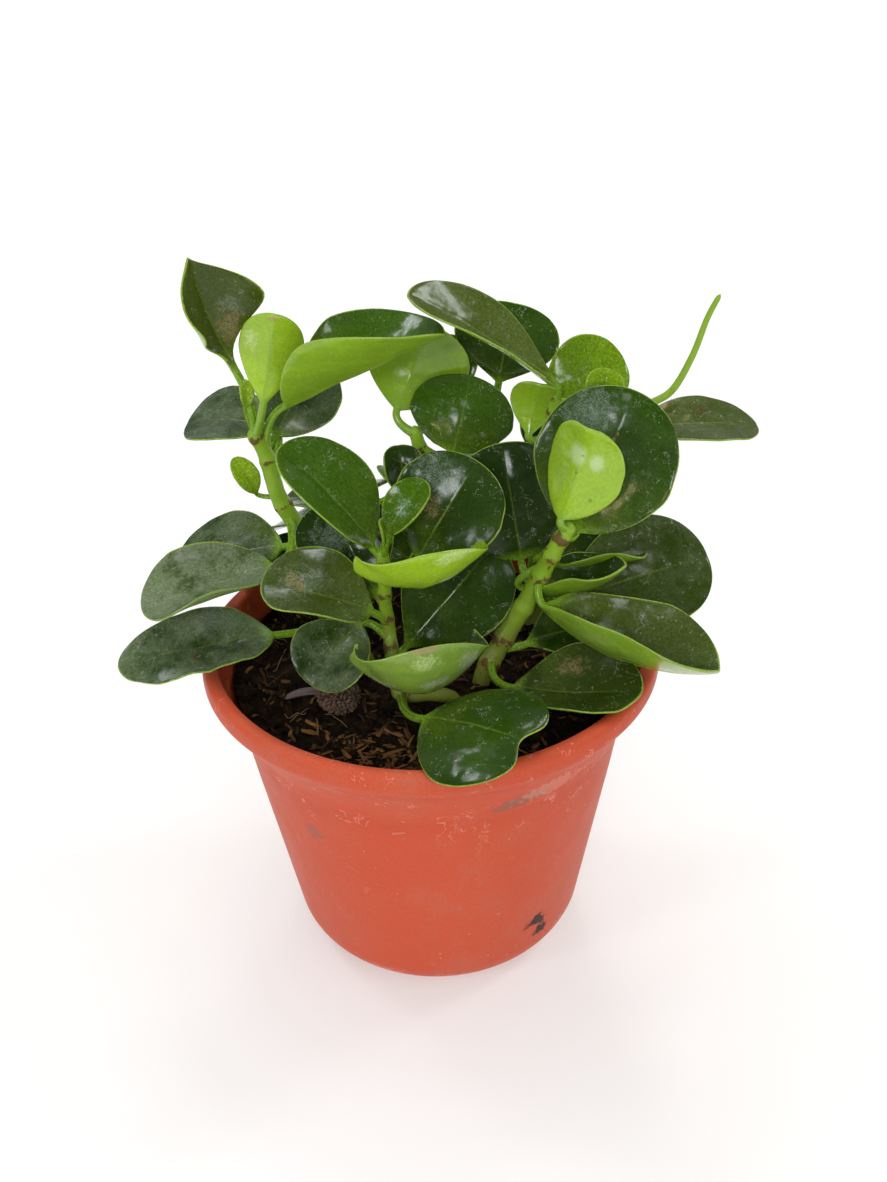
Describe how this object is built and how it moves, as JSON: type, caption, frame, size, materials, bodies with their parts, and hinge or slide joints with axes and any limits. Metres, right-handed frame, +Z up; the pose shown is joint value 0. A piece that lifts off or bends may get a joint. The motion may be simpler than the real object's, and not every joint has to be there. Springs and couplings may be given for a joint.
{
  "type": "potted peperomia",
  "caption": "Bushy house plant with thick glossy spoon-shaped leaves on short stems, in a flared terracotta-coloured plastic pot filled with soil.",
  "frame": {"origin": "middle of the pot's flat bottom, on the surface it stands on", "axes": "+Z up along the pot's axis; -Y is the side the picture was taken from; +X to the viewer's right"},
  "size_m": [0.2482, 0.206, 0.2871],
  "materials": {
    "pot_plastic": "satin terracotta-coloured moulded plastic with scuffs",
    "soil": "dark loose potting mix with wood chips",
    "leaf": "thick glossy green leaf with a pale margin and a lighter underside"
  },
  "bodies": {
    "root": {"pot": "pot_plastic", "soil": "soil", "leafy_stem_left": "leaf", "leafy_stem_low_left": "leaf", "leafy_stem_front": "leaf", "leafy_stem_right": "leaf", "leafy_stem_middle": "leaf", "leafy_stem_back_right": "leaf", "leafy_stem_back_left": "leaf", "leafy_stem_back": "leaf"}
  },
  "joints": []
}
